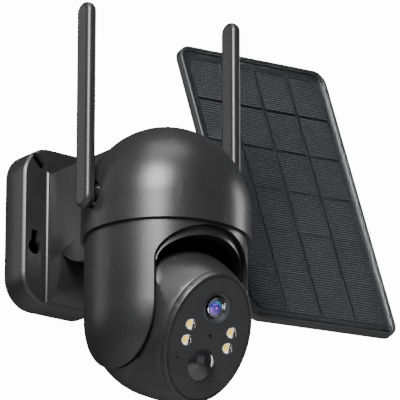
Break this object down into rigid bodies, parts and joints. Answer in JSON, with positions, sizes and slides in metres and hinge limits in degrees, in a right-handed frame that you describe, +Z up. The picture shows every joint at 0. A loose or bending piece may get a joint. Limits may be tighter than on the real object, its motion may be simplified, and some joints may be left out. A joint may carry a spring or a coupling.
{
  "type": "solar security camera",
  "caption": "Ball-head pan and tilt security camera on a wall arm under a domed body with folding antennas, with a separate solar panel on an adjustable wall bracket.",
  "frame": {"origin": "centre of the camera's wall plate, on its back face, which lies on the wall", "axes": "+Z up, +Y into the wall, so the camera stands out along -Y; +X to the right as seen from in front"},
  "size_m": [0.2756, 0.1841, 0.2873],
  "materials": {
    "shell": "satin",
    "face": "satin",
    "dark_plastic": "matte",
    "gear_plastic": "matte",
    "steel": "satin",
    "zinc": "satin",
    "board": "gloss",
    "cell_wrap": "satin",
    "glass": "gloss",
    "clear_plastic": "gloss",
    "led": "gloss",
    "pir": "gloss",
    "panel_glass": "gloss",
    "silicon": "gloss",
    "rubber": "matte"
  },
  "bodies": {
    "wall_mount": {"wall_plate": "shell", "bracket_arm": "shell", "rear_cover": "dark_plastic", "battery_cells": "cell_wrap", "charging_inlet": "dark_plastic", "dome_shell": "shell", "dome_base_plate": "dark_plastic", "pan_bearing": "gear_plastic", "pan_motor": "steel", "main_board": "board", "antenna_bushes": "gear_plastic", "panel_wall_base": "zinc", "swivel_pin": "steel"},
    "yoke": {"yoke_shell": "shell", "yoke_arch_trim": "dark_plastic", "yoke_hub": "dark_plastic", "pan_gear": "gear_plastic", "arm_cover_left": "dark_plastic", "arm_cover_right": "dark_plastic", "arm_cover_screws": "steel", "tilt_bush_left": "gear_plastic", "tilt_axle": "steel", "tilt_gear": "gear_plastic"},
    "head": {"head_front_shell": "shell", "head_rear_shell": "shell", "face_bezel": "shell", "face_plate": "face", "led_board": "board", "led_chips": "led", "led_lenses": "clear_plastic", "lens_barrel": "dark_plastic", "lens_ring": "face", "lens_glass": "glass", "image_sensor_board": "board", "pir_lens": "pir", "pir_sensor": "steel", "speaker": "dark_plastic", "head_board": "board", "card_slot": "dark_plastic", "tilt_trunnion": "gear_plastic", "tilt_bush_right": "gear_plastic", "tilt_motor": "steel"},
    "pan_drive_pinion": {"pan_pinion": "gear_plastic"},
    "tilt_drive_pinion": {"tilt_pinion": "gear_plastic"},
    "left_antenna": {"antenna_left": "shell"},
    "right_antenna": {"antenna_right": "shell"},
    "inlet_plug": {"inlet_flap": "rubber"},
    "card_plug": {"card_cover": "rubber"},
    "reset_key": {"reset_button": "dark_plastic"},
    "power_key": {"power_button": "dark_plastic"},
    "panel_swivel": {"swivel_block": "zinc", "tilt_bolt": "steel"},
    "panel_knob": {"lock_knob": "dark_plastic"},
    "panel_fork": {"tilt_fork": "zinc"},
    "panel": {"panel_frame": "zinc", "panel_glass": "panel_glass", "solar_cells": "silicon", "panel_back_cover": "shell", "junction_box": "dark_plastic", "panel_mount_plate": "zinc"}
  },
  "joints": [
    {"name": "pan", "type": "hinge", "parent": "wall_mount", "child": "yoke", "pos_m": [0, -0.1235, -0.0325], "axis": [0, 0, 1], "range_deg": [-177.5, 177.5]},
    {"name": "tilt", "type": "hinge", "parent": "yoke", "child": "head", "pos_m": [0, -0.1249, -0.0835], "axis": [1, 0, 0], "range_deg": [-26, 64]},
    {"name": "pan_pinion_spin", "type": "hinge", "parent": "wall_mount", "child": "pan_drive_pinion", "pos_m": [0.0289, -0.1235, -0.0212], "axis": [0, 0, 1], "range_deg": [-890, 890]},
    {"name": "tilt_pinion_spin", "type": "hinge", "parent": "head", "child": "tilt_drive_pinion", "pos_m": [0.024, -0.11026, -0.07505], "axis": [1, 0, 0], "range_deg": [-66, 161]},
    {"name": "left_antenna_fold", "type": "hinge", "parent": "wall_mount", "child": "left_antenna", "pos_m": [-0.0571, -0.1167, -0.01], "axis": [1, 0, 0], "range_deg": [-15, 90]},
    {"name": "right_antenna_fold", "type": "hinge", "parent": "wall_mount", "child": "right_antenna", "pos_m": [0.0571, -0.1167, -0.01], "axis": [1, 0, 0], "range_deg": [-15, 90]},
    {"name": "inlet_plug_pull", "type": "slide", "parent": "wall_mount", "child": "inlet_plug", "axis": [0, 0, -1], "range_m": [0, 0.008]},
    {"name": "card_plug_pull", "type": "slide", "parent": "head", "child": "card_plug", "axis": [0, 0.2756, -0.9613], "range_m": [0, 0.008]},
    {"name": "reset_press", "type": "slide", "parent": "head", "child": "reset_key", "axis": [0, -0.2756, 0.9613], "range_m": [0, 0.0004], "stiffness_N_per_m": 400},
    {"name": "power_press", "type": "slide", "parent": "head", "child": "power_key", "axis": [0, -0.2756, 0.9613], "range_m": [0, 0.0005], "stiffness_N_per_m": 400},
    {"name": "panel_yaw", "type": "hinge", "parent": "wall_mount", "child": "panel_swivel", "pos_m": [0.1443, -0.01805, 0.03904], "axis": [0, 0, 1], "range_deg": [-15, 15]},
    {"name": "panel_tilt", "type": "hinge", "parent": "panel_swivel", "child": "panel_fork", "pos_m": [0.1443, -0.04585, 0.03904], "axis": [1, 0, 0], "range_deg": [-8, 35]},
    {"name": "knob_turn", "type": "hinge", "parent": "panel_swivel", "child": "panel_knob", "pos_m": [0.1593, -0.04585, 0.03904], "axis": [1, 0, 0], "continuous": true},
    {"name": "panel_turn", "type": "hinge", "parent": "panel_fork", "child": "panel", "pos_m": [0.1443, -0.067, 0.0451], "axis": [0, -0.9613, 0.2756], "range_deg": [-8, 15]}
  ],
  "couplings": [
    {"joint": "pan_pinion_spin", "follows": "pan", "ratio": -5},
    {"joint": "tilt_pinion_spin", "follows": "tilt", "ratio": 2.5}
  ]
}
